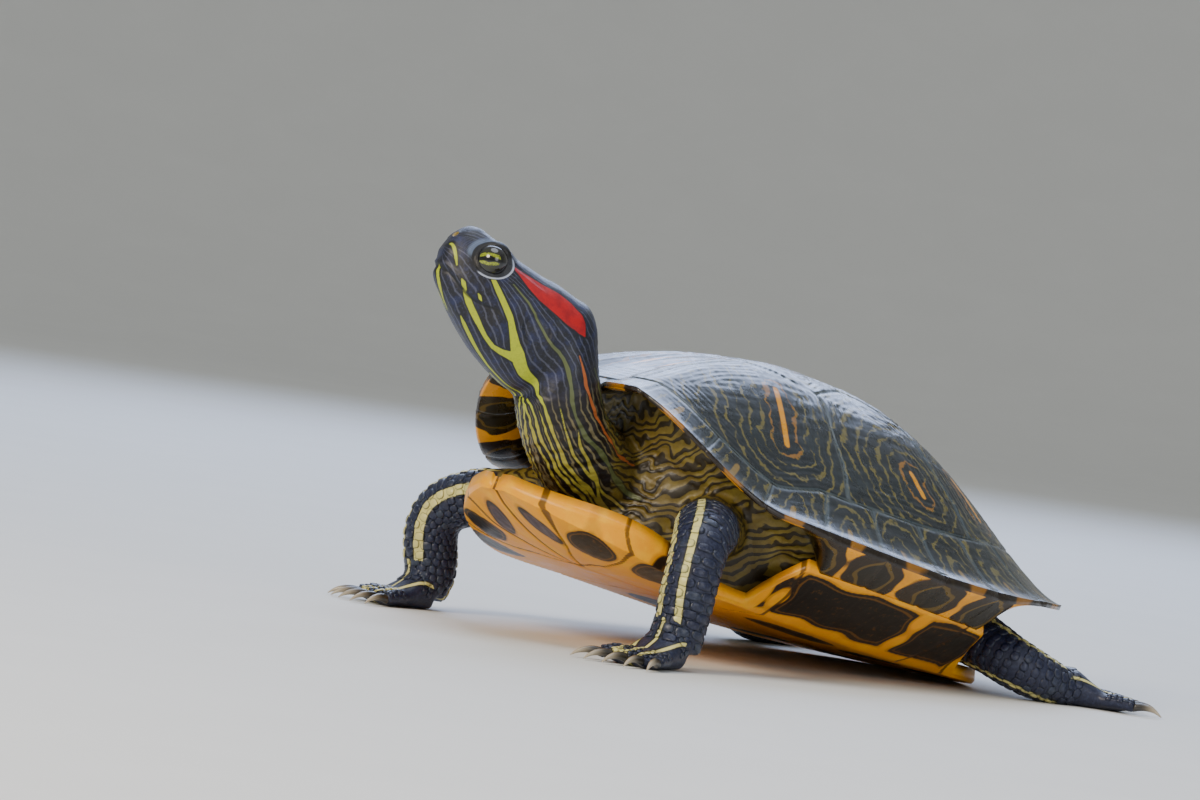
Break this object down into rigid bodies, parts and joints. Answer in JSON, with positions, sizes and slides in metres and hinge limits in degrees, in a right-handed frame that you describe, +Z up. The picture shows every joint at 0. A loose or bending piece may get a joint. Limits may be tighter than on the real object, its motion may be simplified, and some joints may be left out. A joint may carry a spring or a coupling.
{
  "type": "red-eared slider turtle model",
  "caption": "Life-size still model of a red-eared slider turtle, chest raised on its forelegs, neck stretched and head lifted.",
  "frame": {"origin": "centre of the bounding box, on the floor under the animal", "axes": "+Y from the head to the tail, +X to the animal's left, +Z up"},
  "size_m": [0.1632, 0.2148, 0.105],
  "materials": {
    "skin": "scaly skin, dark green-black with yellow stripes",
    "shell": "horny scutes, dark green-black with olive and orange lines",
    "plastron": "horny scutes, orange-yellow with dark blotches",
    "eye": "wet dark eye with olive arcs",
    "claw": "horn"
  },
  "bodies": {
    "root": {"carapace": "shell", "eye_left": "eye", "eye_right": "eye", "forearm_left": "skin", "forearm_right": "skin", "forefoot_left": "skin", "forefoot_left_claw_1": "claw", "forefoot_left_claw_2": "claw", "forefoot_left_claw_3": "claw", "forefoot_left_claw_4": "claw", "forefoot_left_claw_5": "claw", "forefoot_right": "skin", "forefoot_right_claw_1": "claw", "forefoot_right_claw_2": "claw", "forefoot_right_claw_3": "claw", "forefoot_right_claw_4": "claw", "forefoot_right_claw_5": "claw", "head": "skin", "hind_foot_left": "skin", "hind_foot_left_claw_1": "claw", "hind_foot_left_claw_2": "claw", "hind_foot_left_claw_3": "claw", "hind_foot_left_claw_4": "claw", "hind_foot_right": "skin", "hind_foot_right_claw_1": "claw", "hind_foot_right_claw_2": "claw", "hind_foot_right_claw_3": "claw", "hind_foot_right_claw_4": "claw", "lower_jaw": "skin", "neck": "skin", "plastron": "plastron", "shank_left": "skin", "shank_right": "skin", "tail": "skin", "thigh_left": "skin", "thigh_right": "skin", "trunk": "skin", "upper_arm_left": "skin", "upper_arm_right": "skin"}
  },
  "joints": []
}
